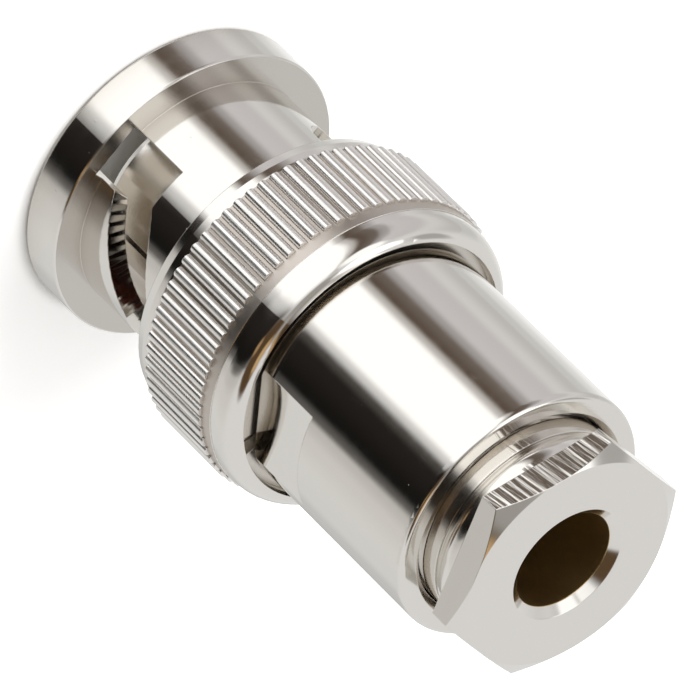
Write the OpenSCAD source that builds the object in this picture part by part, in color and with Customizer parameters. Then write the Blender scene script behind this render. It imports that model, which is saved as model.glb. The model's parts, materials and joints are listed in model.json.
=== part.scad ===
// Bayonet coaxial plug with a clamped cable entry, standing on the rim of its coupling nut.
// The axis is Z. Z = 0 is the rim that meets the socket, and the hex clamp nut is on top.
// All sizes are in millimetres.

/* [Coupling nut] */
// Outside diameter of the front flange
flange_d = 14.5; // [14:0.1:16]
// Thickness of the front flange
flange_h = 2.2; // [1.6:0.1:2.8]
// Outside diameter of the slotted drum
drum_d = 11.8; // [11.4:0.1:12.4]
// Bore that slides over the barrel of the socket
nut_bore_d = 9.9; // [9.8:0.05:10.1]
// Length of the coupling nut
nut_len = 15.4; // [15:0.1:17]
// Thickness of the knurled grip round the nut's rear opening
grip_wall = 1.025; // [0.9:0.005:1.2]
// Height of the front edge of the grip above the rim
grip_z = 8.45; // [8.2:0.05:8.8]
// Radius of the rounded rear shoulder
shoulder_r = 1; // [0.6:0.1:1.1]
// Gap between the body and the nut's rear opening
mouth_gap = 0.45; // [0.42:0.01:0.55]

/* [Knurl] */
// Number of ridges round the grip
knurl_count = 72; // [48:4:80]
// Height of a ridge above the smooth bands
knurl_depth = 0.2; // [0.1:0.01:0.24]
// Width of a rounded ridge at its foot
knurl_width = 0.5; // [0.3:0.01:0.52]
// Smooth band in front of the ridges
knurl_front_band = 1.1; // [0.8:0.05:1.6]
// Smooth band behind the ridges
knurl_rear_band = 0.55; // [0.2:0.05:1]

/* [Bayonet slots] */
// Width of a slot across its path
slot_w = 2.6; // [2.2:0.1:2.8]
// Diameter reached by the entry grooves through the flange
entry_d = 12.6; // [12:0.1:13]
// Height of the closed end of an entry groove
entry_end_z = 5.3; // [5:0.1:5.5]
// Height of the slot's centre line where it leaves the entry groove
slot_start_z = 4; // [3.8:0.05:4.2]
// Highest point of the slot's centre line
slot_top_z = 6.65; // [6.2:0.05:6.8]
// Height of the locking seat at the end of the slot
slot_seat_z = 6.35; // [6.1:0.05:6.5]

/* [Outer contact] */
// Outside diameter of the slotted contact sleeve
sleeve_d = 8.1; // [8:0.02:8.2]
// Wall of the contact sleeve
sleeve_wall = 0.5; // [0.4:0.05:0.6]
// Height of the front edge of the sleeve above the rim
sleeve_z = 1.2; // [0.8:0.1:2.4]
// Number of slits that make the sleeve springy
slit_count = 4; // [2:1:6]
// Width of a slit
slit_w = 0.35; // [0.2:0.05:0.5]
// Length of a slit
slit_len = 6.5; // [4:0.1:7.5]
// Thickness of the collar that the nut is pulled against
collar_h = 1; // [0.8:0.1:1.2]
// Step from the spigot in the body out to the neck behind the collar
neck_step = 0.3; // [0.2:0.05:0.4]

/* [Coupling springs] */
// Thickness of a wave washer's strip
wave_strip = 0.2; // [0.15:0.01:0.25]
// Free height of one wave washer
wave_h = 0.64; // [0.5:0.01:0.7]
// Number of waves round a washer
wave_count = 3; // [2:1:4]
// Thickness of the flat thrust washer
thrust_h = 0.4; // [0.3:0.05:0.5]
// Thickness of the snap ring
snap_h = 0.6; // [0.4:0.05:0.65]
// Opening of the snap ring, in degrees
snap_gap = 9; // [5:1:20]
// How deep the snap ring sits in the wall of the nut
snap_depth = 0.25; // [0.15:0.01:0.3]

/* [Body] */
// Diameter of the threaded bore
thread_d = 10; // [9.8:0.05:10.2]
// Wall of the body round the threaded bore
body_wall = 1.175; // [1.1:0.005:1.3]
// Length of the body behind the coupling nut's ring
body_len = 10.95; // [10.5:0.05:12]
// Depth of each of the two wrench flats
flat_depth = 0.525; // [0.3:0.005:0.6]
// Length of the wrench flats
flats_len = 3.6; // [2:0.1:5]
// Radius of the body's rear edge
body_edge_r = 0.3; // [0.1:0.05:0.4]
// Depth of the countersink at the mouth of the threaded bore
sink_depth = 0.3; // [0.2:0.05:0.4]

/* [Centre contact] */
// Diameter of the pin
pin_d = 1.36; // [1.3:0.01:1.4]
// Height of the pin's tip above the rim
pin_z = 2.6; // [2:0.1:4]
// Diameter of the rear barrel of the pin
barrel_d = 2.1; // [1.8:0.05:2.4]
// Diameter of the well for the cable's inner conductor
well_d = 1; // [0.8:0.05:1.1]
// Free bore round the pin in the front insulator
dielectric_d = 4.9; // [4.8:0.02:5]

/* [Cable clamp] */
// Cable hole in the clamp nut
cable_d = 4.8; // [4.6:0.05:5.4]
// Width of the bevel round the mouth of the cable hole
mouth_bevel = 0.42; // [0.3:0.02:0.7]
// Depth of that bevel
mouth_depth = 0.35; // [0.1:0.05:0.5]
// Distance across the flats of the clamp nut
hex_flats = 10.34; // [10:0.02:11]
// Thickness of the hex
hex_h = 1.4; // [1.2:0.05:2]
// Height of the chamfer on the hex's corners
hex_chamfer = 0.46; // [0.2:0.02:0.6]
// Depth of the undercut between the thread and the hex
undercut_depth = 0.58; // [0.5:0.02:0.7]
// Length of the undercut
undercut_len = 1.25; // [1:0.05:1.6]
// How far the hex stands off the body
hex_standoff = 2.03; // [1.9:0.01:2.4]
// Free length of the rubber cable gasket
gasket_len = 3.2; // [2.8:0.05:3.3]
// Thickness of the slip washer
slip_h = 0.5; // [0.3:0.05:0.6]
// Thickness of the braid clamp's flange
braid_flange_h = 0.9; // [0.6:0.05:1.2]

/* [Position] */
// Turn of the coupling nut on the body, in degrees
nut_turn = -45; // [-180:1:180]
// Turn of the snap ring's opening, in degrees
snap_turn = 18; // [-180:1:180]
// Turn of the clamp nut in the body, in degrees
hex_turn = 10.5; // [-30:0.5:30]

/* [Hidden] */
$fn = 96;

// Clearances and small shared sizes
over = 0.5;            // how far a cutter reaches past what it cuts
face_gap = 0.02;       // between faces that touch
turn_gap = 0.15;       // between the nut's cavity and what turns in it
thread_gap = 0.07;     // between the plain male and female thread diameters
fit_gap = 0.03;        // between an insulator and its bore

// Colours
nickel = [0.80, 0.79, 0.76];
brass = [0.83, 0.70, 0.42];
gold = [0.90, 0.72, 0.36];
ptfe = [0.95, 0.95, 0.93];
rubber = [0.16, 0.16, 0.17];
silicone = [0.62, 0.25, 0.20];

edge_soft = 0.15;      // small broken edges

// Diameters shared by the body and what it holds
body_d = thread_d + 2 * body_wall;
spigot_d = thread_d;
neck_d = spigot_d + 2 * neck_step;

// Coupling nut
rear_mouth_d = body_d + 2 * mouth_gap;
grip_r = rear_mouth_d / 2 + grip_wall;
drum_r = drum_d / 2;
step_gap = 0.35;       // from the step behind the grip to the rounded shoulder
step_z = nut_len - shoulder_r - step_gap;
step_depth = 0.24;
shoulder_top_r = grip_r - step_depth;
band_r = grip_r - knurl_depth;
bevel_drop = 0.25;
ridge_steps = 8;       // facets across a ridge
ridge_bury = 0.05;     // how deep the ridges' feet go into the smooth cylinder
lip_w = 0.25;
band_wall = 0.2;
knurl_z = grip_z + knurl_front_band;
knurl_end_z = step_z - knurl_rear_band;

// Stack of rings between the collar and the front face of the body
body_inset = 0.35;     // how deep the body's front face sits in the nut
snap_free = 0.2;       // between the snap ring and the body
body_z = nut_len - body_inset;
snap_z = body_z - snap_free - snap_h;
thrust_z = snap_z - face_gap - thrust_h;
wave_rear_z = thrust_z - face_gap - wave_h;
wave_front_z = wave_rear_z - face_gap - wave_h;
collar_z = wave_front_z - face_gap - collar_h;
cavity_z = collar_z - face_gap;
cavity_d = rear_mouth_d - 0.15;
collar_d = cavity_d - 2 * turn_gap;
ring_in_d = neck_d + 0.3;
snap_groove_d = cavity_d + 2 * snap_depth;

// Inside the outer contact
sleeve_in_d = sleeve_d - 2 * sleeve_wall;
sleeve_tip = 0.3;
front_gasket_h = 1.4;
seat_z = collar_z + collar_h / 2;
spigot_len = 3;
insulator_step = 0.35; // from the sleeve's bore out to the insulators' bore
insulator_d = sleeve_in_d + 2 * insulator_step;
nose_z = sleeve_z + 1.1;
web_z = seat_z - 2.5;
insulator_flange_h = 2;
rear_ins_z = seat_z + insulator_flange_h + face_gap;
rear_ins_h = 2.5;
pin_flange_d = 3.2;
pin_flange_h = 0.8;
pin_tip_len = 0.9;
pin_tip_d = 0.3;
barrel_step = 0.25;
barrel_z = web_z - 0.4;
barrel_len = 5.6;
barrel_end_z = rear_ins_z + pin_flange_h + barrel_len;
well_len = 4;
sight_hole_d = 0.7 * well_d;
sight_hole_drop = 3;

// Inside the body
spigot_end_z = body_z + spigot_len;
thread_z = spigot_end_z + 1.5;
body_end_z = body_z + body_len;
cable_core_d = 3.4;

// Cable clamp, stacked rearwards from the bottom of the threaded bore
clamp_ring_d = thread_d - 0.5;
gasket_z = thread_z + face_gap + braid_flange_h + face_gap;
slip_z = gasket_z + gasket_len + face_gap;
clamp_z = slip_z + slip_h + face_gap;
hex_z = body_end_z + hex_standoff;
undercut_z = hex_z - undercut_len;
undercut_fillet = 0.5;
male_d = thread_d - 2 * thread_gap;
braid_hub_d = 6.6;
braid_hub_len = 1.8;
braid_cone = 0.6;

// Bayonet slot as a function of the turn past the entry groove
slot_turn = 90;
slot_climb_turn = 66;
slot_steps = 20;
helix_rate = (slot_top_z - slot_start_z) / slot_climb_turn;
helix_angle = atan(helix_rate / (PI * drum_d / 360));
slot_half = slot_w / 2 / cos(helix_angle);
slot_corner = 0.7;
slot_corner_turn = 26;

function slot_mid(t) = t < slot_climb_turn
    ? slot_start_z + helix_rate * t
    : slot_top_z + (slot_seat_z - slot_top_z) * (t - slot_climb_turn) / (slot_turn - slot_climb_turn);
function slot_front(t) = slot_mid(t) - slot_half;
function slot_rear(t) = slot_mid(t) + slot_half
    - slot_corner * pow(max(0, 1 - t / slot_corner_turn), 2);
function at(r, a, z) = [r * cos(a), r * sin(a), z];

// Ring with a rectangular section
module ring(inner_d, outer_d, z, h) {
    translate([0, 0, z])
        difference() {
            cylinder(d = outer_d, h = h);
            translate([0, 0, -over]) cylinder(d = inner_d, h = h + 2 * over);
        }
}

// Solid bounded by the slot's two edges, from inside the bore to outside the drum
module slot_sweep(r_in, r_out) {
    points = [
        for (i = [0 : slot_steps])
            let (t = slot_turn * i / slot_steps)
            each [
                at(r_in, t, slot_front(t)), at(r_out, t, slot_front(t)),
                at(r_out, t, slot_rear(t)), at(r_in, t, slot_rear(t))
            ]
    ];
    last = 4 * slot_steps;
    ends = [[2, 1, 0], [3, 2, 0], [last, last + 1, last + 2], [last, last + 2, last + 3]];
    sides = [
        for (i = [0 : slot_steps - 1], j = [0 : 3])
            let (a = 4 * i + j, b = 4 * i + (j + 1) % 4)
            each [[b + 4, a + 4, a], [b, b + 4, a]]
    ];
    faces = concat(ends, sides);
    polyhedron(points, faces, convexity = 6);
}

// One bayonet slot: entry groove through the flange, helical track and locking seat
module bayonet_slot() {
    r_in = nut_bore_d / 2 - 1;
    r_out = drum_r + 1;
    translate([0, -slot_w / 2, -over]) cube([entry_d / 2, slot_w, entry_end_z + over]);
    slot_sweep(r_in, r_out);
    rotate([0, 0, slot_turn])
        translate([r_in, 0, slot_seat_z])
            rotate([0, 90, 0]) cylinder(d = slot_w, h = r_out - r_in, $fn = 48);
}

// Half section of the coupling nut, without its slots and knurl
module nut_section() {
    mouth_r = rear_mouth_d / 2;
    difference() {
        union() {
            polygon([
                [0, 0], [flange_d / 2 - edge_soft, 0], [flange_d / 2, edge_soft],
                [flange_d / 2, flange_h - edge_soft / 2], [flange_d / 2 - edge_soft / 2, flange_h],
                [drum_r, flange_h], [drum_r, grip_z], [band_r - bevel_drop, grip_z],
                [band_r - bevel_drop / 4, grip_z + knurl_front_band / 2],
                [band_r, knurl_z - edge_soft], [band_r, step_z],
                [shoulder_top_r, step_z], [0, step_z]
            ]);
            translate([0, step_z - over]) square([shoulder_top_r, nut_len - shoulder_r - step_z + over]);
            translate([0, step_z]) square([shoulder_top_r - shoulder_r, nut_len - step_z]);
            translate([shoulder_top_r - shoulder_r, nut_len - shoulder_r])
                intersection() {
                    circle(r = shoulder_r);
                    square(shoulder_r);
                }
        }
        translate([0, -over]) square([nut_bore_d / 2, nut_len]);
        polygon([[0, -over], [nut_bore_d / 2 + lip_w + over, -over], [nut_bore_d / 2, lip_w]]);
        translate([0, cavity_z]) square([cavity_d / 2, nut_len]);
        translate([0, snap_z - face_gap]) square([snap_groove_d / 2, snap_h + 2 * face_gap]);
        polygon([
            [0, nut_len - lip_w], [cavity_d / 2, nut_len - lip_w],
            [mouth_r, nut_len + face_gap], [0, nut_len + face_gap]
        ]);
    }
}

// Section of the grip with its ridges: each is half an ellipse on a foot inside the grip
module knurl_outline() {
    tooth = 360 / knurl_count;
    half = knurl_width / 2;
    foot_r = band_r - ridge_bury;
    profile = [
        [foot_r, -half],
        for (i = [0 : ridge_steps])
            let (a = 180 * i / ridge_steps)
            [band_r + knurl_depth * sin(a), -half * cos(a)],
        [foot_r, half]
    ];
    polygon([
        for (i = [0 : knurl_count - 1], q = profile)
            let (a = tooth * (i + 0.5) + q[1] * 180 / PI / grip_r)
            [q[0] * cos(a), q[0] * sin(a)]
    ]);
}

// Ring of ridges that stands on the smooth cylinder of the grip
module knurled_ring() {
    translate([0, 0, knurl_z])
        linear_extrude(height = knurl_end_z - knurl_z)
            difference() {
                knurl_outline();
                circle(d = cavity_d + 2 * band_wall);
            }
}

module coupling_nut() {
    color(nickel)
        rotate([0, 0, nut_turn])
            difference() {
                union() {
                    rotate_extrude() nut_section();
                    knurled_ring();
                }
                for (side = [0, 180]) rotate([0, 0, side]) bayonet_slot();
            }
}

// Split ring in the groove of the nut's cavity
module snap_ring() {
    reach = snap_groove_d;
    half = snap_gap / 2;
    color(nickel)
        difference() {
            ring(ring_in_d, snap_groove_d - 2 * face_gap, snap_z, snap_h);
            translate([0, 0, snap_z - over])
                linear_extrude(height = snap_h + 2 * over)
                    polygon([
                        [0, 0],
                        [reach * cos(snap_turn - half), reach * sin(snap_turn - half)],
                        [reach * cos(snap_turn + half), reach * sin(snap_turn + half)]
                    ]);
        }
}

module thrust_washer() {
    color(nickel) ring(ring_in_d, collar_d, thrust_z, thrust_h);
}

// Thin ring that rises and falls wave_count times round its circle
module wave_washer(z) {
    steps = 16 * wave_count;
    swing = (wave_h - wave_strip) / 2;
    r_in = ring_in_d / 2;
    r_out = collar_d / 2 - turn_gap;
    points = [
        for (i = [0 : steps - 1])
            let (a = 360 * i / steps, mid = z + wave_h / 2 + swing * cos(wave_count * a))
            each [
                at(r_in, a, mid - wave_strip / 2), at(r_out, a, mid - wave_strip / 2),
                at(r_out, a, mid + wave_strip / 2), at(r_in, a, mid + wave_strip / 2)
            ]
    ];
    faces = [
        for (i = [0 : steps - 1], j = [0 : 3])
            let (a = 4 * i + j, b = 4 * i + (j + 1) % 4, n = 4 * steps)
            each [[(b + 4) % n, (a + 4) % n, a], [b, (b + 4) % n, a]]
    ];
    color(nickel) polyhedron(points, faces, convexity = 6);
}

module wave_washer_front() {
    wave_washer(wave_front_z);
}

module wave_washer_rear() {
    wave_washer(wave_rear_z);
}

// Slotted sleeve, collar, neck and spigot, turned in one piece
module outer_contact() {
    color(nickel)
        difference() {
            rotate_extrude()
                difference() {
                    polygon([
                        [0, sleeve_z], [sleeve_d / 2 - sleeve_tip / 2, sleeve_z],
                        [sleeve_d / 2, sleeve_z + sleeve_tip], [sleeve_d / 2, collar_z],
                        [collar_d / 2, collar_z], [collar_d / 2, collar_z + collar_h],
                        [neck_d / 2, collar_z + collar_h], [neck_d / 2, body_z - face_gap],
                        [spigot_d / 2, body_z - face_gap], [spigot_d / 2, spigot_end_z - face_gap],
                        [0, spigot_end_z - face_gap]
                    ]);
                    translate([0, sleeve_z - over]) square([sleeve_in_d / 2, spigot_end_z]);
                    translate([0, seat_z]) square([insulator_d / 2 + fit_gap, spigot_end_z]);
                }
            for (i = [0 : slit_count - 1])
                rotate([0, 0, nut_turn + 360 * (i + 0.5) / slit_count])
                    translate([sleeve_in_d / 2 - over, -slit_w / 2, sleeve_z - over])
                        cube([sleeve_wall + 2 * over, slit_w, slit_len + over]);
        }
}

// Soft ring that the end of the socket's barrel seals against
module front_gasket() {
    color(silicone)
        ring(
            sleeve_d + 2 * fit_gap, nut_bore_d - 2 * turn_gap,
            collar_z - face_gap - front_gasket_h, front_gasket_h
        );
}

// Long insulator with a free bore round the pin
module front_insulator() {
    color(ptfe)
        rotate_extrude()
            difference() {
                union() {
                    translate([0, nose_z])
                        square([sleeve_in_d / 2 - fit_gap, seat_z + insulator_flange_h - nose_z]);
                    translate([0, seat_z + face_gap])
                        square([insulator_d / 2, insulator_flange_h - face_gap]);
                }
                translate([0, nose_z - over]) square([dielectric_d / 2, web_z - nose_z + over]);
                translate([0, web_z - over]) square([barrel_d / 2 + fit_gap, spigot_end_z]);
            }
}

// Gold-plated pin with a pointed tip, a stepped barrel, a flange and a solder well
module centre_pin() {
    pin_r = pin_d / 2;
    barrel_r = barrel_d / 2;
    flange_end_z = rear_ins_z + pin_flange_h;
    color(gold)
        difference() {
            rotate_extrude()
                polygon([
                    [0, pin_z], [pin_tip_d / 2, pin_z],
                    [(pin_tip_d + 3 * pin_r) / 4, pin_z + pin_tip_len / 2],
                    [pin_r, pin_z + pin_tip_len], [pin_r, barrel_z], [barrel_r, barrel_z + barrel_step],
                    [barrel_r, rear_ins_z], [pin_flange_d / 2, rear_ins_z],
                    [pin_flange_d / 2, flange_end_z], [barrel_r, flange_end_z],
                    [barrel_r, barrel_end_z], [0, barrel_end_z]
                ]);
            translate([0, 0, barrel_end_z - well_len]) cylinder(d = well_d, h = well_len + over);
            translate([0, 0, barrel_end_z - sight_hole_drop])
                rotate([90, 0, 0]) cylinder(d = sight_hole_d, h = barrel_d, $fn = 32);
        }
}

// Bush that locks the pin's flange against the front insulator
module rear_insulator() {
    color(ptfe)
        rotate_extrude()
            difference() {
                translate([0, rear_ins_z]) square([insulator_d / 2, rear_ins_h]);
                translate([0, rear_ins_z - over]) square([barrel_d / 2 + fit_gap, rear_ins_h + 2 * over]);
                translate([0, rear_ins_z - over])
                    square([pin_flange_d / 2 + fit_gap, pin_flange_h + over + face_gap]);
            }
}

// Main barrel with two wrench flats in front and the threaded bore behind
module body() {
    body_r = body_d / 2;
    round_r = body_r - body_edge_r;
    round_z = body_end_z - body_edge_r;
    color(nickel)
        difference() {
            rotate_extrude()
                difference() {
                    union() {
                        polygon([
                            [0, body_z], [body_r - edge_soft, body_z], [body_r, body_z + edge_soft],
                            [body_r, round_z], [round_r, round_z], [round_r, body_end_z], [0, body_end_z]
                        ]);
                        translate([round_r, round_z]) circle(r = body_edge_r);
                    }
                    translate([0, body_z - over]) square([spigot_d / 2 + fit_gap, spigot_len + over]);
                    translate([0, spigot_end_z - over]) square([insulator_d / 2 + fit_gap, body_len]);
                    translate([0, thread_z]) square([thread_d / 2, body_len]);
                    polygon([
                        [0, body_end_z - sink_depth], [thread_d / 2, body_end_z - sink_depth],
                        [thread_d / 2 + sink_depth + over, body_end_z + over], [0, body_end_z + over]
                    ]);
                }
            for (side = [-1, 1])
                translate([side * (body_d - flat_depth), 0, body_z + (flats_len - over) / 2])
                    cube([body_d, body_d + over, flats_len + over], center = true);
        }
}

// Flanged ring that the cable's braid is folded over
module braid_clamp() {
    z0 = thread_z + face_gap;
    z1 = z0 + braid_flange_h;
    z2 = z1 + braid_hub_len;
    color(brass)
        rotate_extrude()
            difference() {
                polygon([
                    [0, z0], [clamp_ring_d / 2, z0], [clamp_ring_d / 2, z1], [braid_hub_d / 2, z1],
                    [braid_hub_d / 2 - braid_cone, z2], [0, z2]
                ]);
                translate([0, z0 - over]) square([cable_core_d / 2, body_len]);
            }
}

// Rubber ring with a conical seat for the braid clamp's hub
module cable_gasket() {
    seat_r = braid_hub_d / 2 + face_gap;
    seat_len = braid_hub_len + face_gap;
    color(rubber)
        rotate_extrude()
            difference() {
                translate([0, gasket_z]) square([clamp_ring_d / 2, gasket_len]);
                translate([0, gasket_z - over]) square([cable_d / 2, gasket_len + 2 * over]);
                polygon([
                    [0, gasket_z - over], [seat_r, gasket_z - over], [seat_r, gasket_z],
                    [seat_r - braid_cone, gasket_z + seat_len], [0, gasket_z + seat_len]
                ]);
            }
}

module slip_washer() {
    color(brass) ring(cable_d, clamp_ring_d, slip_z, slip_h);
}

// Hex nut with its male thread as a plain cylinder, an undercut and the cable hole
module clamp_nut() {
    hex_r = hex_flats / 2 / cos(30);
    top = hex_z + hex_h;
    face_r = hex_r - hex_chamfer / tan(30);
    male_r = male_d / 2;
    undercut_r = male_r - undercut_depth;
    fillet_r = undercut_r + undercut_fillet;
    color(nickel)
        difference() {
            union() {
                rotate_extrude()
                    difference() {
                        polygon([
                            [0, clamp_z], [male_r - edge_soft, clamp_z], [male_r, clamp_z + edge_soft],
                            [male_r, undercut_z - edge_soft], [male_r - edge_soft, undercut_z],
                            [fillet_r, undercut_z], [fillet_r, hex_z + over], [0, hex_z + over]
                        ]);
                        for (z = [undercut_z + undercut_fillet, hex_z - undercut_fillet])
                            translate([fillet_r, z]) circle(r = undercut_fillet, $fn = 48);
                        translate([undercut_r, undercut_z + undercut_fillet])
                            square([undercut_fillet + over, undercut_len - 2 * undercut_fillet]);
                    }
                rotate([0, 0, hex_turn])
                    intersection() {
                        translate([0, 0, hex_z]) cylinder(r = hex_r, h = hex_h, $fn = 6);
                        rotate_extrude()
                            polygon([
                                [0, hex_z], [hex_r + over, hex_z],
                                [hex_r + over, top - hex_chamfer - over * tan(30)],
                                [face_r, top], [0, top]
                            ]);
                    }
            }
            translate([0, 0, clamp_z - over]) cylinder(d = cable_d, h = top - clamp_z + 2 * over);
            translate([0, 0, top - mouth_depth])
                cylinder(d1 = cable_d, d2 = cable_d + 2 * mouth_bevel, h = mouth_depth);
        }
}

coupling_nut();
snap_ring();
thrust_washer();
wave_washer_front();
wave_washer_rear();
outer_contact();
front_gasket();
front_insulator();
centre_pin();
rear_insulator();
body();
braid_clamp();
cable_gasket();
slip_washer();
clamp_nut();
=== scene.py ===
"""Bayonet coaxial plug: finishes, fine pieces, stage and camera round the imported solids."""
import json
import math

import bmesh
import bpy
from mathutils import Matrix, Vector

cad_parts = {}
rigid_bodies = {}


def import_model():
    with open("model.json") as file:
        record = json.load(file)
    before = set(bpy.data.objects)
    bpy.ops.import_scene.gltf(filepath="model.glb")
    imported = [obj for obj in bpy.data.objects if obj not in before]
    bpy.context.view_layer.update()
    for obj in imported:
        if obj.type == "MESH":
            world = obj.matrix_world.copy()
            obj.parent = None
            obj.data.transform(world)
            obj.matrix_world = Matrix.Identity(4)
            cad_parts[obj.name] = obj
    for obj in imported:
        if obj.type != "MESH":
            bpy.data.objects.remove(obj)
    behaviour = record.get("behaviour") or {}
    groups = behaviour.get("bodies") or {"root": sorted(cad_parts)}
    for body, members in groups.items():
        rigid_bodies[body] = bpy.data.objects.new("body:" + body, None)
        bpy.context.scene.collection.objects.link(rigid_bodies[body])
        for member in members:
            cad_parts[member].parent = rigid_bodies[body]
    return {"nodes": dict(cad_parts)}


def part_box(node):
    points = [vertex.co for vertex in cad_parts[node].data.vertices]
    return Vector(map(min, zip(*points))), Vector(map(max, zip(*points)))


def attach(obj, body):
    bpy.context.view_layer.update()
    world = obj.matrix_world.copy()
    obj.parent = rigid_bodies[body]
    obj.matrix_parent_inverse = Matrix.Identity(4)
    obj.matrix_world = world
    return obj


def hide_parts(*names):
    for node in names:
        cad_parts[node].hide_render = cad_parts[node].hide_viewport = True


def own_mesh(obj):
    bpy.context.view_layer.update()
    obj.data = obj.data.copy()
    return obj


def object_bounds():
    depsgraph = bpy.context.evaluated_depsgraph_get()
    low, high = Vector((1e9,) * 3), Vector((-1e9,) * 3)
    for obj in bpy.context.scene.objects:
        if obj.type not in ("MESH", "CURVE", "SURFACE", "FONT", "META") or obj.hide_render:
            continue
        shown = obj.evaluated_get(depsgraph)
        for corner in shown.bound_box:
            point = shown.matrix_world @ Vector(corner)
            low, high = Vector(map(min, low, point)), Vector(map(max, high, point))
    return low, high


bl_info = {
    "name": "Bayonet Coaxial Plug",
    "version": (1, 0, 0),
    "blender": (4, 5, 0),
    "location": "View3D > Sidebar > Plug",
    "description": "Finishes and fine pieces of a clamp-type bayonet coaxial plug",
    "category": "Object",
}

MM = 0.001

for old in list(bpy.data.objects):
    bpy.data.objects.remove(old, do_unlink=True)
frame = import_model()
NODES = frame["nodes"]
CAD_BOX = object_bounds()


# ---------------------------------------------------------------- settings


class PlugFinish(bpy.types.PropertyGroup):
    """Colours and finish of the plug's materials, and the colour of their painted shade in recesses"""

    nickel: bpy.props.FloatVectorProperty(
        name="Nickel", description="Colour of the nickel plating",
        subtype="COLOR", size=3, min=0, max=1, default=(0.80, 0.775, 0.735),
    )
    # Painted shade: the colour that nickel is blended toward where ambient occlusion finds a recess.
    recess: bpy.props.FloatVectorProperty(
        name="Recess tint", description="Colour that nickel takes deep in a recess",
        subtype="COLOR", size=3, min=0, max=1, default=(0.50, 0.44, 0.36),
    )
    brass: bpy.props.FloatVectorProperty(
        name="Brass", description="Colour of bare turned brass",
        subtype="COLOR", size=3, min=0, max=1, default=(0.83, 0.66, 0.36),
    )
    gold: bpy.props.FloatVectorProperty(
        name="Gold", description="Colour of the plated centre pin",
        subtype="COLOR", size=3, min=0, max=1, default=(0.92, 0.70, 0.32),
    )
    steel: bpy.props.FloatVectorProperty(
        name="Spring strip", description="Colour of the spring washers",
        subtype="COLOR", size=3, min=0, max=1, default=(0.60, 0.58, 0.55),
    )
    insulator: bpy.props.FloatVectorProperty(
        name="Insulator", description="Colour of the turned insulators",
        subtype="COLOR", size=3, min=0, max=1, default=(0.88, 0.88, 0.85),
    )
    rubber: bpy.props.FloatVectorProperty(
        name="Rubber", description="Colour of the cable gasket",
        subtype="COLOR", size=3, min=0, max=1, default=(0.030, 0.029, 0.028),
    )
    silicone: bpy.props.FloatVectorProperty(
        name="Front gasket", description="Colour of the soft front gasket",
        subtype="COLOR", size=3, min=0, max=1, default=(0.42, 0.09, 0.05),
    )
    edge_radius: bpy.props.FloatProperty(
        name="Edge radius", description="Radius of the worn edges of plated parts",
        subtype="DISTANCE", unit="LENGTH", min=0, default=0.06 * MM,
    )


class PlugThread(bpy.types.PropertyGroup):
    """Sizes of the threaded clamp nut"""

    pitch: bpy.props.FloatProperty(
        name="Pitch", description="Distance between two crests of the thread",
        subtype="DISTANCE", unit="LENGTH", min=0.0001, default=0.75 * MM,
    )
    depth: bpy.props.FloatProperty(
        name="Depth", description="Depth of the thread below its crest",
        subtype="DISTANCE", unit="LENGTH", min=0, default=0.36 * MM,
    )
    plain: bpy.props.FloatProperty(
        name="Plain collar", description="Length of the plain collar above the thread",
        subtype="DISTANCE", unit="LENGTH", min=0, default=0.85 * MM,
    )
    crest: bpy.props.FloatProperty(
        name="Crest radius", description="Radius of the thread's crest",
        subtype="DISTANCE", unit="LENGTH", min=0, default=4.92 * MM,
    )
    neck: bpy.props.FloatProperty(
        name="Neck radius", description="Radius of the undercut below the hex",
        subtype="DISTANCE", unit="LENGTH", min=0, default=4.35 * MM,
    )
    neck_length: bpy.props.FloatProperty(
        name="Neck length", description="Length of the undercut below the hex",
        subtype="DISTANCE", unit="LENGTH", min=0, default=1.25 * MM,
    )
    across_flats: bpy.props.FloatProperty(
        name="Across flats", description="Width of the hex across its flats",
        subtype="DISTANCE", unit="LENGTH", min=0, default=10.34 * MM,
    )
    hex_height: bpy.props.FloatProperty(
        name="Hex height", description="Height of the hex",
        subtype="DISTANCE", unit="LENGTH", min=0, default=1.4 * MM,
    )
    hex_turn: bpy.props.FloatProperty(
        name="Hex turn", description="Turn of the hex's corners about the axis",
        subtype="ANGLE", unit="ROTATION", default=math.radians(10.5),
    )
    chamfer_drop: bpy.props.FloatProperty(
        name="Chamfer drop", description="Drop of the chamfer at the hex's corners",
        subtype="DISTANCE", unit="LENGTH", min=0, default=0.46 * MM,
    )
    bore: bpy.props.FloatProperty(
        name="Bore radius", description="Radius of the cable hole",
        subtype="DISTANCE", unit="LENGTH", min=0, default=2.4 * MM,
    )
    mouth_width: bpy.props.FloatProperty(
        name="Mouth width", description="Width of the bevel round the cable hole",
        subtype="DISTANCE", unit="LENGTH", min=0, default=0.42 * MM,
    )
    mouth_depth: bpy.props.FloatProperty(
        name="Mouth depth", description="Depth of the bevel round the cable hole",
        subtype="DISTANCE", unit="LENGTH", min=0, default=0.35 * MM,
    )


class PlugView(bpy.types.PropertyGroup):
    """Camera of the main view"""

    azimuth: bpy.props.FloatProperty(
        name="Azimuth", description="Direction from the plug to the camera, about Z",
        subtype="ANGLE", unit="ROTATION", default=math.radians(-54),
    )
    elevation: bpy.props.FloatProperty(
        name="Elevation", description="Height of the camera above the plug's base plane",
        subtype="ANGLE", unit="ROTATION", default=math.radians(35.44),
    )
    roll: bpy.props.FloatProperty(
        name="Roll", description="Turn of the camera about its line of sight",
        subtype="ANGLE", unit="ROTATION", default=math.radians(134.565),
    )
    distance: bpy.props.FloatProperty(
        name="Distance", description="Distance from the camera to its aim",
        subtype="DISTANCE", unit="LENGTH", min=0.05, default=481.23 * MM,
    )
    aim_height: bpy.props.FloatProperty(
        name="Aim height", description="Height on the plug's axis that the camera looks at",
        subtype="DISTANCE", unit="LENGTH", default=13.81 * MM,
    )
    lens: bpy.props.FloatProperty(
        name="Lens", description="Focal length on a sensor 36 mm wide, in millimetres",
        min=50, max=2000, default=583.5,
    )


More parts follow.
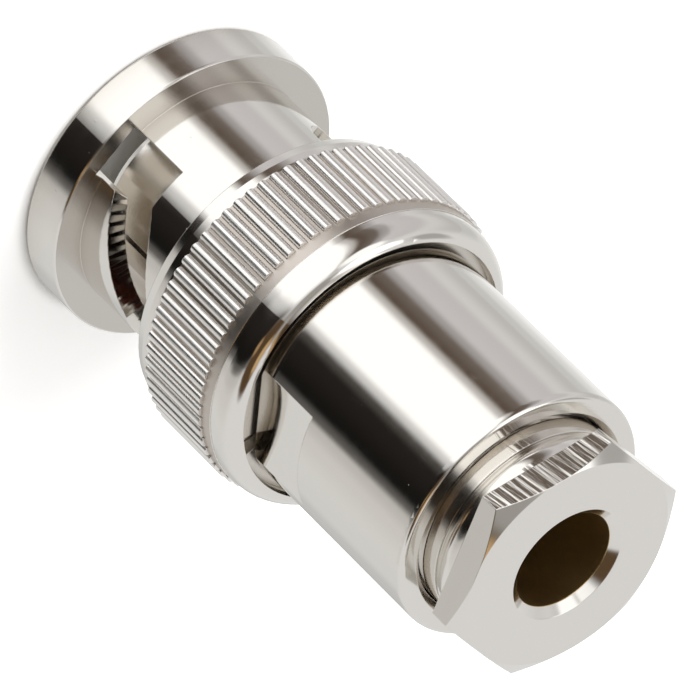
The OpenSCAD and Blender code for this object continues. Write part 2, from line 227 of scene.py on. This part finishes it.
class PlugStage(bpy.types.PropertyGroup):
    """Floor and light"""

    floor_size: bpy.props.FloatProperty(
        name="Floor size", description="Width of the square floor",
        subtype="DISTANCE", unit="LENGTH", min=0.1, default=1.6,
    )
    light: bpy.props.FloatProperty(
        name="Light level", description="Brightness of the studio round the plug",
        min=0, max=4, default=1.0,
    )


# ---------------------------------------------------------------- node helpers


def put(tree, socket, value):
    """Fills a socket with a value or links it to another socket."""
    if isinstance(value, bpy.types.NodeSocket):
        tree.links.new(value, socket)
    elif socket.type == "RGBA" and len(value) == 3:
        socket.default_value = (*value, 1)
    else:
        socket.default_value = value


def fill(tree, node, **values):
    """Fills the sockets of those names, with an underscore for each space."""
    for key, value in values.items():
        put(tree, node.inputs[key.replace("_", " ")], value)
    return node


def add(tree, kind, **values):
    """A node of that kind. Names in small letters set its properties, the others fill its sockets."""
    node = tree.nodes.new(kind)
    for key in [key for key in values if key[0].islower()]:
        setattr(node, key, values.pop(key))
    return fill(tree, node, **values)


def maths(tree, operation, *values):
    node = add(tree, "ShaderNodeMath", operation=operation)
    for socket, value in zip(node.inputs, values):
        put(tree, socket, value)
    return node.outputs[0]


def total(tree, *parts):
    """Sum of values, each given with its weight."""
    result, *others = [maths(tree, "MULTIPLY", value, weight) for value, weight in parts]
    for other in others:
        result = maths(tree, "ADD", result, other)
    return result


def aligned(tree, a, b):
    """How well two unit vectors agree: 1 where they point the same way."""
    node = add(tree, "ShaderNodeVectorMath", operation="DOT_PRODUCT")
    put(tree, node.inputs[0], a)
    put(tree, node.inputs[1], b)
    return node.outputs["Value"]


def between(tree, value, low, high, to_low=0.0, to_high=1.0):
    """Smooth step of a value between two limits."""
    node = add(tree, "ShaderNodeMapRange", interpolation_type="SMOOTHSTEP")
    for socket, v in zip(node.inputs, (value, low, high, to_low, to_high)):
        put(tree, socket, v)
    return node.outputs[0]


def blend_colour(tree, factor, a, b):
    node = add(tree, "ShaderNodeMix", data_type="RGBA")
    put(tree, node.inputs["Factor"], factor)
    put(tree, node.inputs[6], a)
    put(tree, node.inputs[7], b)
    return node.outputs[2]


def object_place(tree):
    """Coordinates on the piece itself, in the plug's frame."""
    return tree.nodes.new("ShaderNodeTexCoord").outputs["Object"]


def surface_normal(tree):
    return tree.nodes.new("ShaderNodeNewGeometry").outputs["Normal"]


def position(tree):
    """A point's x, y and z and its distance from the plug's axis."""
    x, y, z = add(tree, "ShaderNodeSeparateXYZ", Vector=object_place(tree)).outputs
    flat = maths(tree, "ADD", maths(tree, "MULTIPLY", x, x), maths(tree, "MULTIPLY", y, y))
    return x, y, z, maths(tree, "SQRT", flat)


# ---------------------------------------------------------------- shared effects


def new_group(name, inputs, outputs):
    """An empty shader node group: inputs with their defaults, and the outputs' names."""
    tree = bpy.data.node_groups.new(name, "ShaderNodeTree")
    for label, default in inputs.items():
        socket = tree.interface.new_socket(name=label, in_out="INPUT", socket_type="NodeSocketFloat")
        socket.default_value = default
    for label in outputs:
        kind = "NodeSocketVector" if label == "Normal" else "NodeSocketFloat"
        tree.interface.new_socket(name=label, in_out="OUTPUT", socket_type=kind)
    return tree, tree.nodes.new("NodeGroupInput").outputs, tree.nodes.new("NodeGroupOutput")


def use(tree, effect, **values):
    """Places a shared effect, whose group is built the first time. Returns its outputs."""
    name = effect.__name__.replace("_", " ").capitalize()
    node = tree.nodes.new("ShaderNodeGroup")
    node.node_tree = bpy.data.node_groups.get(name) or effect(name)
    return fill(tree, node, **values).outputs


def turned_marks(name):
    """Fine rings that a lathe tool leaves: the same at every angle, on faces and barrels alike."""
    tree, given, out = new_group(name, {"Pitch": 0.08 * MM, "Unevenness": 0.5}, ("Height", "Streaks"))
    x, y, z, r = position(tree)
    per_metre = maths(tree, "DIVIDE", 1.0, given["Pitch"])
    wander = maths(tree, "MULTIPLY", maths(tree, "ARCTAN2", y, x), given["Unevenness"])
    rings = add(
        tree, "ShaderNodeCombineXYZ",
        X=maths(tree, "MULTIPLY", r, per_metre), Y=maths(tree, "MULTIPLY", z, per_metre), Z=wander,
    ).outputs[0]
    fine = add(tree, "ShaderNodeTexNoise", Vector=rings, Scale=1.0, Detail=3.0, Roughness=0.6)
    coarse = add(tree, "ShaderNodeTexNoise", Vector=rings, Scale=0.13, Detail=2.0)
    streaks = between(tree, coarse.outputs["Fac"], 0.3, 0.7)
    fill(tree, out, Height=fine.outputs["Fac"], Streaks=streaks)
    return tree


def scuffs(name):
    """Hairline scratches, tiny pits and smudges from handling."""
    tree, given, out = new_group(
        name, {"Size": 1.2 * MM, "Amount": 0.5}, ("Scratches", "Pits", "Smudges"),
    )
    place = object_place(tree)
    scale = maths(tree, "DIVIDE", 1.0, given["Size"])
    ways = (
        ((0.3, 0.9, 0.2), (12.0, 12.0, 0.25)),
        ((1.1, -0.4, 1.9), (12.0, 0.25, 12.0)),
    )
    hairlines = []
    for turn, stretch in ways:
        drawn_out = add(tree, "ShaderNodeMapping", Vector=place, Rotation=turn, Scale=stretch)
        lines = add(tree, "ShaderNodeTexNoise", Vector=drawn_out.outputs[0], Detail=1.0, Scale=scale)
        near = maths(tree, "ABSOLUTE", maths(tree, "SUBTRACT", lines.outputs["Fac"], 0.5))
        hairlines.append(between(tree, near, 0.02, 0.0))
    patches = add(
        tree, "ShaderNodeTexNoise", Vector=place, Detail=2.0, Scale=maths(tree, "MULTIPLY", scale, 0.5),
    )
    where = between(tree, patches.outputs["Fac"], 0.56, 0.70)
    scratches = maths(tree, "MULTIPLY", maths(tree, "MAXIMUM", *hairlines), where)
    cells = add(
        tree, "ShaderNodeTexVoronoi", Vector=place, feature="F1",
        Scale=maths(tree, "MULTIPLY", scale, 3.0),
    )
    lot = add(tree, "ShaderNodeSeparateXYZ", Vector=cells.outputs["Color"]).outputs[0]
    chosen = maths(tree, "GREATER_THAN", lot, 0.93)
    pits = maths(tree, "MULTIPLY", between(tree, cells.outputs["Distance"], 0.12, 0.05), chosen)
    smudge = add(
        tree, "ShaderNodeTexNoise", Vector=place, Detail=3.0, Roughness=0.6,
        Scale=maths(tree, "MULTIPLY", scale, 0.28),
    )
    fill(
        tree, out,
        Scratches=maths(tree, "MULTIPLY", scratches, given["Amount"]),
        Pits=maths(tree, "MULTIPLY", pits, given["Amount"]),
        Smudges=between(tree, smudge.outputs["Fac"], 0.35, 0.7),
    )
    return tree


def edges_and_recess_shade(name):
    """Worn outer edges and painted shade in recesses by ambient occlusion, with the normal rounded over
    at the edges.
    """
    tree, given, out = new_group(
        name, {"Radius": 0.06 * MM, "Recess Depth": 1.2 * MM}, ("Edge", "Recess", "Normal"),
    )
    rounded = add(tree, "ShaderNodeBevel", samples=6, Radius=given["Radius"]).outputs["Normal"]
    shade = add(tree, "ShaderNodeAmbientOcclusion", samples=8, Distance=given["Recess Depth"])
    fill(
        tree, out,
        Edge=between(tree, aligned(tree, rounded, surface_normal(tree)), 0.995, 0.90),
        # Recess is where ambient occlusion finds shade; the materials darken their colour there as
        # painted shade.
        Recess=between(tree, shade.outputs["AO"], 0.75, 0.2),
        Normal=rounded,
    )
    return tree


def mill_marks(name):
    """Uneven marks along the axis that a worn cutter leaves on every other flat of a hex."""
    tree, given, out = new_group(
        name, {"Width": 0.34 * MM, "Length": 6 * MM, "Turn": 0.0}, ("Height", "Side"),
    )
    x, y, z, _ = position(tree)
    lean = maths(tree, "MULTIPLY", z, 0.15)
    place = add(
        tree, "ShaderNodeCombineXYZ",
        X=maths(tree, "DIVIDE", maths(tree, "ADD", x, lean), given["Width"]),
        Y=maths(tree, "DIVIDE", y, given["Width"]),
        Z=maths(tree, "DIVIDE", z, given["Length"]),
    ).outputs[0]
    broad = add(tree, "ShaderNodeTexNoise", Vector=place, Scale=1.0, Detail=1.0)
    fine = add(tree, "ShaderNodeTexNoise", Vector=place, Scale=4.5, Detail=2.0)
    height = total(tree, (broad.outputs["Fac"], 1.0), (fine.outputs["Fac"], 0.16))
    nx, ny, nz = add(tree, "ShaderNodeSeparateXYZ", Vector=surface_normal(tree)).outputs
    facing = maths(tree, "SUBTRACT", maths(tree, "ARCTAN2", ny, nx), given["Turn"])
    every_other = maths(tree, "COSINE", maths(tree, "MULTIPLY", facing, 3.0))
    chosen = between(tree, every_other, 0.90, 0.97)
    upright = between(tree, maths(tree, "ABSOLUTE", nz), 0.25, 0.1)
    fill(tree, out, Height=height, Side=maths(tree, "MULTIPLY", upright, chosen))
    return tree


def zones(name):
    """Masks by place.

    Between the heights Low and High lies a band, with its crests beyond one radius and the ground
    between them beyond another. Bore is what lies within a radius, and Front Face is what faces
    up below a height.
    """
    tree, given, out = new_group(
        name, {"Low": 0.0, "High": 0.0, "Ground": 0.0, "Crest": 0.0, "Bore": 0.0, "Front": 0.0},
        ("Ground", "Crest", "Bore", "Front Face"),
    )
    _, _, z, r = position(tree)
    above = maths(tree, "GREATER_THAN", z, given["Low"])
    below = maths(tree, "LESS_THAN", z, given["High"])
    band = maths(tree, "MULTIPLY", above, below)
    crest = maths(tree, "MULTIPLY", band, maths(tree, "GREATER_THAN", r, given["Crest"]))
    ground = maths(tree, "MULTIPLY", band, maths(tree, "GREATER_THAN", r, given["Ground"]))
    up = add(tree, "ShaderNodeSeparateXYZ", Vector=surface_normal(tree)).outputs[2]
    before = maths(tree, "LESS_THAN", z, given["Front"])
    fill(
        tree, out,
        Ground=maths(tree, "SUBTRACT", ground, crest),
        Crest=crest,
        Bore=maths(tree, "LESS_THAN", r, given["Bore"]),
        Front_Face=maths(tree, "MULTIPLY", between(tree, up, 0.8, 0.9), before),
    )
    return tree


# ---------------------------------------------------------------- materials


def fresh(name):
    """A new material with its shader."""
    material = bpy.data.materials.new(name)
    material.use_nodes = True
    tree = material.node_tree
    tree.nodes.clear()
    shader = tree.nodes.new("ShaderNodeBsdfPrincipled")
    add(tree, "ShaderNodeOutputMaterial", Surface=shader.outputs[0])
    return material, tree, shader


# How much rougher each zone of a plated part is, and the colour it takes: the crests' near-white is a
# painted highlight, and the front face's darker colour is painted shade.
ZONE_FINISH_AND_PAINTED_LIGHT = (
    ("Ground", 0.26, (0.60, 0.55, 0.50)),
    # Painted highlight on the knurl's crests.
    ("Crest", 0.24, (0.95, 0.93, 0.90)),
    ("Bore", 0.20, (0.72, 0.56, 0.31)),
    # Painted shade on the upward front face.
    ("Front Face", 0.05, (0.62, 0.59, 0.55)),
)


def plated_metal(
    name, colour, recess, rough, rings, edge_radius,
    recess_depth=1.2 * MM, tint=0.5, mill=0.0, mill_turn=0.0, places=None,
):
    """Bright plating over a machined surface, with worn edges and painted shade in its recesses.

    Rings and mill are the heights of the tool marks in hundredths of a millimetre. Places gives
    the heights and radii of its zones, if it has any.
    """
    material, tree, shader = fresh(name)
    turned = use(tree, turned_marks, Pitch=0.08 * MM)
    scuff = use(tree, scuffs, Size=1.2 * MM, Amount=0.5)
    edge = use(tree, edges_and_recess_shade, Radius=edge_radius, Recess_Depth=recess_depth)
    # Painted shade: the tone goes toward the recess shade colour, by the share tint, where ambient
    # occlusion finds a recess.
    tone = blend_colour(tree, maths(tree, "MULTIPLY", edge["Recess"], tint), colour, recess)
    bright = [min(1.0, c * 1.08) for c in colour]
    tone = blend_colour(tree, maths(tree, "MULTIPLY", edge["Edge"], 0.6), tone, bright)
    level = [
        (scuff["Smudges"], 0.03), (turned["Streaks"], 0.03), (scuff["Scratches"], 0.10),
        (edge["Recess"], 0.12),
    ]
    if places:
        zone = use(tree, zones, **places)
        # The zones' colours go over the tone: the crests' painted highlight, the front face's painted
        # shade, the darker ground and the golden bore.
        for label, more, zone_tone_and_painted_light in ZONE_FINISH_AND_PAINTED_LIGHT:
            level.append((zone[label], more))
            tone = blend_colour(tree, zone[label], tone, zone_tone_and_painted_light)
    height = [(turned["Height"], rings), (scuff["Scratches"], -0.05), (scuff["Pits"], 0.9)]
    if mill:
        cut = use(tree, mill_marks, Turn=mill_turn)
        height.append((maths(tree, "MULTIPLY", cut["Height"], cut["Side"]), mill))
    bump = add(
        tree, "ShaderNodeBump", Strength=1.0, Distance=0.01 * MM, Height=total(tree, *height),
        Normal=edge["Normal"],
    )
    fill(
        tree, shader, Base_Color=tone, Metallic=1.0, Normal=bump.outputs["Normal"],
        Roughness=maths(tree, "ADD", total(tree, *level), rough),
    )
    return material


def soft_solid(name, colour, rough, relief, specular=0.5, rings=0.0):
    """Rubber or turned plastic with a fine grain, a slightly uneven colour and painted shade in its
    recesses.
    """
    material, tree, shader = fresh(name)
    grain = 0.15 * MM
    place = object_place(tree)
    cloud = add(tree, "ShaderNodeTexNoise", Vector=place, Scale=1 / (6 * grain), Detail=3.0)
    grains = add(tree, "ShaderNodeTexNoise", Vector=place, Scale=1 / grain, Detail=4.0, Roughness=0.7)
    edge = use(tree, edges_and_recess_shade, Radius=0.08 * MM, Recess_Depth=1.0 * MM)
    turned = use(tree, turned_marks, Pitch=0.12 * MM)
    dark = [c * 0.82 for c in colour]
    # Painted shade: half the colour, blended in where ambient occlusion finds a recess.
    deep = [c * 0.5 for c in colour]
    tone = blend_colour(tree, between(tree, cloud.outputs["Fac"], 0.3, 0.7), dark, colour)
    tone = blend_colour(tree, maths(tree, "MULTIPLY", edge["Recess"], 0.4), tone, deep)
    bump = add(
        tree, "ShaderNodeBump", Strength=0.6, Distance=relief,
        Height=total(tree, (grains.outputs["Fac"], 1.0), (turned["Height"], rings)),
        Normal=edge["Normal"],
    )
    fill(
        tree, shader, Base_Color=tone, Specular_IOR_Level=specular, Normal=bump.outputs["Normal"],
        Roughness=between(tree, grains.outputs["Fac"], 0.2, 0.8, rough - 0.06, rough + 0.06),
    )
    return material


def dress(piece, material):
    """Gives a piece that material and no other."""
    piece.data.materials.clear()
    piece.data.materials.append(material)


# ---------------------------------------------------------------- pieces


def ring_mesh(name, rows, steps):
    """A closed ring of faces. Each row gives radius and height at an angle; the last joins the first."""
    sharp = math.radians(20)
    net = bmesh.new()
    grid = []
    for row in rows:
        line = []
        for i in range(steps):
            angle = 2 * math.pi * i / steps
            r, z = row(angle)
            line.append(net.verts.new((r * math.cos(angle), r * math.sin(angle), z)))
        grid.append(line)
    for low, high in zip(grid, grid[1:] + grid[:1]):
        for i in range(steps):
            j = (i + 1) % steps
            net.faces.new((low[i], high[i], high[j], low[j])).smooth = True
    bmesh.ops.recalc_face_normals(net, faces=net.faces)
    for edge in net.edges:
        edge.smooth = edge.calc_face_angle(0) < sharp
    mesh = bpy.data.meshes.new(name)
    net.to_mesh(mesh)
    net.free()
    piece = bpy.data.objects.new(name, mesh)
    bpy.context.scene.collection.objects.link(piece)
    return piece


def squeezed(node, name, material):
    """A soft node's piece in that material: a copy of the node's mesh, carried by the plug's body in the
    node's place.
    """
    piece = bpy.data.objects.new(name, NODES[node].data.copy())
    bpy.context.scene.collection.objects.link(piece)
    dress(piece, material)
    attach(piece, "plug")
    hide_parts(node)
    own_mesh(piece)


def clamp_nut_piece(s):
    """The clamp nut with its thread cut round the collar, between the seat and the undercut."""
    low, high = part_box("clamp_nut")
    floor, top = low[2], high[2]
    under = top - s.hex_height
    collar = under - s.neck_length
    fillet = 0.5 * MM
    fillet_rows = 8
    edge_bevel = 0.15 * MM
    fade = 0.3 * MM            # over which the thread comes to its full depth
    crest_share = 0.18         # of the pitch
    flank_share = 0.72
    row_height = 0.05 * MM
    steps = 240
    half_side = math.radians(30)
    slope = math.tan(math.radians(30))
    face = s.across_flats / 2 / math.cos(half_side) - s.chamfer_drop / slope

    def hex_radius(angle):
        turn = (angle - s.hex_turn) % (2 * half_side) - half_side
        return s.across_flats / 2 / math.cos(turn)

    def fixed(r, z):
        return lambda angle: (r, z)

    def chamfer_edge(angle):
        r = hex_radius(angle)
        return r, top - max(0.0, r - face) * slope

    def thread_row(z):
        full = min(1.0, max(0.0, min(z - floor, collar - s.plain - z) / fade))

        def row(angle):
            turn = ((z - floor) / s.pitch - angle / (2 * math.pi)) % 1.0
            groove = min(1.0, max(0.0, (abs(2 * turn - 1) - crest_share) / flank_share))
            return s.crest - s.depth * groove * full, z
        return row

    rows = [
        fixed(s.bore, floor), fixed(s.bore, top - s.mouth_depth), fixed(s.bore + s.mouth_width, top),
        fixed(face, top), chamfer_edge, lambda angle: (hex_radius(angle), under),
    ]
    for centre, start, end in ((under - fillet, 90, 0), (collar + fillet, 0, -90)):
        for i in range(fillet_rows + 1):
            a = math.radians(start + (end - start) * i / fillet_rows)
            rows.append(fixed(s.neck + fillet * (1 - math.cos(a)), centre + fillet * math.sin(a)))
    rows.append(fixed(s.crest - edge_bevel, collar))
    count = round((collar - floor) / row_height)
    rows += [thread_row(collar - (collar - floor) * (i + 0.5) / count) for i in range(count)]
    rows.append(fixed(s.crest - edge_bevel, floor))
    return ring_mesh("clamp_nut_threaded", rows, steps)


class PLUG_OT_coupling_nut(bpy.types.Operator):
    """Finish the knurled coupling nut"""

    bl_idname = "plug.coupling_nut"
    bl_label = "Coupling nut"

    def execute(self, context):
        finish = context.scene.plug_finish
        grip = {"Low": 9.5 * MM, "High": 14.05 * MM, "Ground": 7.40 * MM, "Crest": 7.50 * MM}
        # Deep painted shade inside the nut, a painted highlight on the grip's crests and painted shade
        # on the flange's upward face.
        dress(NODES["coupling_nut"], plated_metal(
            "Nickel coupling nut", finish.nickel, finish.recess, rough=0.06, rings=0.08,
            edge_radius=finish.edge_radius, recess_depth=3.5 * MM, tint=0.8,
            places={**grip, "Front": 2.9 * MM},
        ))
        return {"FINISHED"}


class PLUG_OT_body(bpy.types.Operator):
    """Finish the plug's barrel"""

    bl_idname = "plug.body"
    bl_label = "Body"

    def execute(self, context):
        finish = context.scene.plug_finish
        dress(NODES["body"], plated_metal(
            "Nickel body", finish.nickel, finish.recess, rough=0.05, rings=0.05,
            edge_radius=finish.edge_radius,
        ))
        return {"FINISHED"}


class PLUG_OT_clamp_nut(bpy.types.Operator):
    """Finish the hex clamp nut"""

    bl_idname = "plug.clamp_nut"
    bl_label = "Clamp nut"

    def execute(self, context):
        finish, thread = context.scene.plug_finish, context.scene.plug_thread
        nut = clamp_nut_piece(thread)
        dress(nut, plated_metal(
            "Nickel clamp nut", finish.nickel, finish.recess, rough=0.09, rings=0.08,
            edge_radius=finish.edge_radius, mill=4.5, mill_turn=thread.hex_turn - math.pi / 2,
            places={"Bore": thread.bore + 0.02 * MM},
        ))
        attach(nut, "clamp_group")
        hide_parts("clamp_nut")
        return {"FINISHED"}


class PLUG_OT_springs(bpy.types.Operator):
    """Finish the split ring, the thrust washer and the two wave washers"""

    bl_idname = "plug.springs"
    bl_label = "Ring and springs"

    def execute(self, context):
        finish = context.scene.plug_finish
        ring = plated_metal(
            "Nickel ring", finish.nickel, finish.recess, rough=0.2, rings=0.05, edge_radius=0.04 * MM,
        )
        dress(NODES["snap_ring"], ring)
        dress(NODES["thrust_washer"], ring)
        strip = plated_metal(
            "Spring strip", finish.steel, finish.recess, rough=0.24, rings=0.05, edge_radius=0.03 * MM,
        )
        for end in ("front", "rear"):
            squeezed(
                "wave_washer_" + end, "wave_spring_" + end, strip,
            )
        return {"FINISHED"}


class PLUG_OT_contacts(bpy.types.Operator):
    """Finish the outer contact, the pin, the insulators and the front gasket"""

    bl_idname = "plug.contacts"
    bl_label = "Contacts and insulators"

    def execute(self, context):
        finish = context.scene.plug_finish
        dress(NODES["outer_contact"], plated_metal(
            "Nickel contact", finish.nickel, finish.recess, rough=0.14, rings=0.08,
            edge_radius=0.04 * MM,
        ))
        # The pin's painted recess shade is its gold at six tenths.
        dress(NODES["centre_pin"], plated_metal(
            "Gold pin", finish.gold, [c * 0.6 for c in finish.gold], rough=0.12, rings=0.06,
            edge_radius=0.03 * MM,
        ))
        white = soft_solid(
            "White insulator", finish.insulator, rough=0.42, relief=0.006 * MM, rings=0.8,
        )
        dress(NODES["front_insulator"], white)
        dress(NODES["rear_insulator"], white)
        dress(NODES["front_gasket"], soft_solid(
            "Front gasket", finish.silicone, rough=0.5, relief=0.008 * MM, specular=0.4,
        ))
        return {"FINISHED"}


class PLUG_OT_cable_clamp(bpy.types.Operator):
    """Finish the braid clamp, the cable gasket and the slip washer"""

    bl_idname = "plug.cable_clamp"
    bl_label = "Cable clamp"

    def execute(self, context):
        finish = context.scene.plug_finish
        # The brass's painted recess shade is its colour at half.
        bare = plated_metal(
            "Bare brass", finish.brass, [c * 0.5 for c in finish.brass], rough=0.22, rings=0.15,
            edge_radius=0.04 * MM,
        )
        dress(NODES["braid_clamp"], bare)
        dress(NODES["slip_washer"], bare)
        rubber = soft_solid(
            "Black rubber", finish.rubber, rough=0.55, relief=0.012 * MM, specular=0.35,
        )
        squeezed("cable_gasket", "cable_seal", rubber)
        return {"FINISHED"}


# ---------------------------------------------------------------- stage

# The studio's walls as the plug sees them: degrees about Z, and colour.
WALLS = (
    (-176, (0.60, 0.59, 0.59)), (-158, (0.74, 0.73, 0.73)), (-148, (0.64, 0.62, 0.63)),
    (-132, (0.67, 0.65, 0.66)), (-124, (0.42, 0.40, 0.40)), (-117, (0.17, 0.14, 0.12)),
    (-107, (0.12, 0.09, 0.07)), (-101, (0.60, 0.58, 0.56)), (-94, (1.35, 1.35, 1.35)),
    (-52, (1.35, 1.35, 1.35)), (-45, (0.75, 0.75, 0.75)), (-38, (0.08, 0.075, 0.07)),
    (-30, (0.02, 0.017, 0.015)), (-3, (0.01, 0.009, 0.008)), (4, (0.12, 0.115, 0.11)),
    (12, (0.60, 0.59, 0.57)), (26, (0.72, 0.71, 0.69)), (50, (0.77, 0.77, 0.76)),
    (76, (0.74, 0.74, 0.73)), (96, (0.60, 0.60, 0.59)), (124, (0.47, 0.47, 0.46)),
    (128, (1.0, 1.0, 0.99)), (146, (0.97, 0.97, 0.96)), (164, (0.80, 0.80, 0.79)),
    (172, (0.66, 0.66, 0.65)),
)
# Round panels and flags in front of the walls, each over the ones before it: azimuth, elevation,
# radius and width of the soft edge in degrees, and colour.
PANELS = (
    (105, 45, 66, 24, (0.81, 0.81, 0.81)),
    (178, 43, 9, 8, (0.45, 0.44, 0.43)),
    (90, 89, 16, 10, (0.38, 0.37, 0.35)),
    (12, 58, 21, 8, (0.10, 0.06, 0.03)),
    (34, 68, 7, 7, (0.60, 0.40, 0.20)),
    (-8, 44, 5, 5, (0.40, 0.26, 0.13)),
    (-170, 65, 12, 5, (1.6, 1.6, 1.6)),
    (-124, 55, 12, 6, (1.3, 1.3, 1.3)),
)


def towards(azimuth, elevation):
    """Unit vector in a direction given by two angles."""
    flat = math.cos(elevation)
    return Vector((flat * math.cos(azimuth), flat * math.sin(azimuth), math.sin(elevation)))


def studio_world(level):
    """Soft studio round the plug: pale walls with dark gaps, and panels before them."""
    world = bpy.data.worlds.new("Studio")
    bpy.context.scene.world = world
    world.use_nodes = True
    tree = world.node_tree
    tree.nodes.clear()
    way = tree.nodes.new("ShaderNodeTexCoord").outputs["Generated"]
    x, y, _ = add(tree, "ShaderNodeSeparateXYZ", Vector=way).outputs
    turn = maths(tree, "ADD", maths(tree, "DIVIDE", maths(tree, "ARCTAN2", y, x), 2 * math.pi), 0.5)
    ramp = tree.nodes.new("ShaderNodeValToRGB")
    ramp.color_ramp.interpolation = "EASE"
    stops = ramp.color_ramp.elements
    while len(stops) > 1:
        stops.remove(stops[-1])
    for i, (degrees, tone) in enumerate(WALLS):
        at = (degrees + 180) / 360
        stop = stops[0] if i == 0 else stops.new(at)
        stop.position = at
        stop.color = (*tone, 1)
    put(tree, ramp.inputs[0], turn)
    colour = ramp.outputs["Color"]
    for azimuth, elevation, radius, softness, tone in PANELS:
        centre = towards(math.radians(azimuth), math.radians(elevation))
        inner = math.cos(math.radians(max(0, radius - softness / 2)))
        outer = math.cos(math.radians(radius + softness / 2))
        mask = between(tree, aligned(tree, way, centre), outer, inner)
        colour = blend_colour(tree, mask, colour, tone)
    sky = add(tree, "ShaderNodeBackground", Color=colour, Strength=level)
    white = add(tree, "ShaderNodeBackground", Color=(1, 1, 1), Strength=1.0)
    seen = tree.nodes.new("ShaderNodeLightPath").outputs["Is Camera Ray"]
    mix = tree.nodes.new("ShaderNodeMixShader")
    for socket, value in zip(mix.inputs, (seen, sky.outputs[0], white.outputs[0])):
        put(tree, socket, value)
    add(tree, "ShaderNodeOutputWorld", Surface=mix.outputs[0])


def floor_material(rim):
    """Pale matte floor, white outside the plug's rim, that keeps the plug's shadow."""
    material, tree, shader = fresh("Pale floor")
    glow = 0.42
    grain = add(tree, "ShaderNodeTexNoise", Vector=object_place(tree), Scale=900.0, Detail=3.0)
    pale = blend_colour(tree, grain.outputs["Fac"], (0.86, 0.86, 0.85), (0.9, 0.9, 0.89))
    seen = tree.nodes.new("ShaderNodeLightPath").outputs["Is Camera Ray"]
    outside = between(tree, position(tree)[3], rim - 0.6 * MM, rim + 0.2 * MM)
    fill(
        tree, shader, Base_Color=pale, Roughness=0.9, Specular_IOR_Level=0.1,
        Emission_Color=(1, 1, 1),
        Emission_Strength=maths(tree, "MULTIPLY", maths(tree, "MULTIPLY", seen, glow), outside),
    )
    return material


class PLUG_OT_stage(bpy.types.Operator):
    """Make the floor, the lights, the world and the camera"""

    bl_idname = "plug.stage"
    bl_label = "Stage"

    def execute(self, context):
        scene = context.scene
        view, stage = scene.plug_view, scene.plug_stage
        studio_world(stage.light)

        mesh = bpy.data.meshes.new("floor")
        floor = bpy.data.objects.new("floor", mesh)
        scene.collection.objects.link(floor)
        half = stage.floor_size / 2
        ground = CAD_BOX[0][2] - 0.02 * MM     # just clear of the rim that stands on it
        corners = ((-half, -half), (half, -half), (half, half), (-half, half))
        net = bmesh.new()
        net.faces.new([net.verts.new((x, y, ground)) for x, y in corners])
        net.to_mesh(mesh)
        net.free()
        dress(floor, floor_material(CAD_BOX[1][0]))
        floor.visible_glossy = False

        lamp = bpy.data.lights.new("soft_key", "AREA")
        lamp.shape = "DISK"
        lamp.size = 0.25
        lamp.energy = 0.9
        key = bpy.data.objects.new("soft_key", lamp)
        key.location = (-0.10, -0.16, 0.34)
        aim = Vector((0, 0, 0.012)) - key.location
        key.rotation_euler = aim.to_track_quat("-Z", "Y").to_euler()
        key.visible_glossy = False
        scene.collection.objects.link(key)

        data = bpy.data.cameras.new("main_view")
        data.sensor_width = 36.0
        data.lens = view.lens
        data.clip_start = 0.01
        data.clip_end = 10.0
        camera = bpy.data.objects.new("main_view", data)
        scene.collection.objects.link(camera)
        back = towards(view.azimuth, view.elevation)
        level_right = Vector((0, 0, 1)).cross(back).normalized()
        level_up = back.cross(level_right)
        right = math.cos(view.roll) * level_right + math.sin(view.roll) * level_up
        up = back.cross(right)
        place = Matrix((right, up, back)).transposed().to_4x4()
        place.translation = Vector((0, 0, view.aim_height)) + back * view.distance
        camera.matrix_world = place
        scene.camera = camera
        scene.view_settings.view_transform = "Standard"
        return {"FINISHED"}


class PLUG_PT_sidebar(bpy.types.Panel):
    """Settings and pieces of the plug"""

    bl_label = "Plug"
    bl_idname = "PLUG_PT_sidebar"
    bl_space_type = "VIEW_3D"
    bl_region_type = "UI"
    bl_category = "Plug"

    def draw(self, context):
        for name, group in GROUPS:
            box = self.layout.box()
            for key in group.__annotations__:
                box.prop(getattr(context.scene, name), key)
        for operator in PIECES:
            self.layout.operator(operator.bl_idname)


PIECES = (
    PLUG_OT_coupling_nut, PLUG_OT_body, PLUG_OT_clamp_nut, PLUG_OT_springs, PLUG_OT_contacts,
    PLUG_OT_cable_clamp, PLUG_OT_stage,
)
GROUPS = (
    ("plug_finish", PlugFinish), ("plug_thread", PlugThread), ("plug_view", PlugView),
    ("plug_stage", PlugStage),
)
CLASSES = tuple(group for _, group in GROUPS) + PIECES + (PLUG_PT_sidebar,)


def register():
    for cls in CLASSES:
        bpy.utils.register_class(cls)
    for name, group in GROUPS:
        setattr(bpy.types.Scene, name, bpy.props.PointerProperty(type=group))


def unregister():
    for name, _ in GROUPS:
        delattr(bpy.types.Scene, name)
    for cls in reversed(CLASSES):
        bpy.utils.unregister_class(cls)


def main():
    register()
    for operator in PIECES:
        area, name = operator.bl_idname.split(".")
        getattr(getattr(bpy.ops, area), name)()


if __name__ == "__main__":
    main()
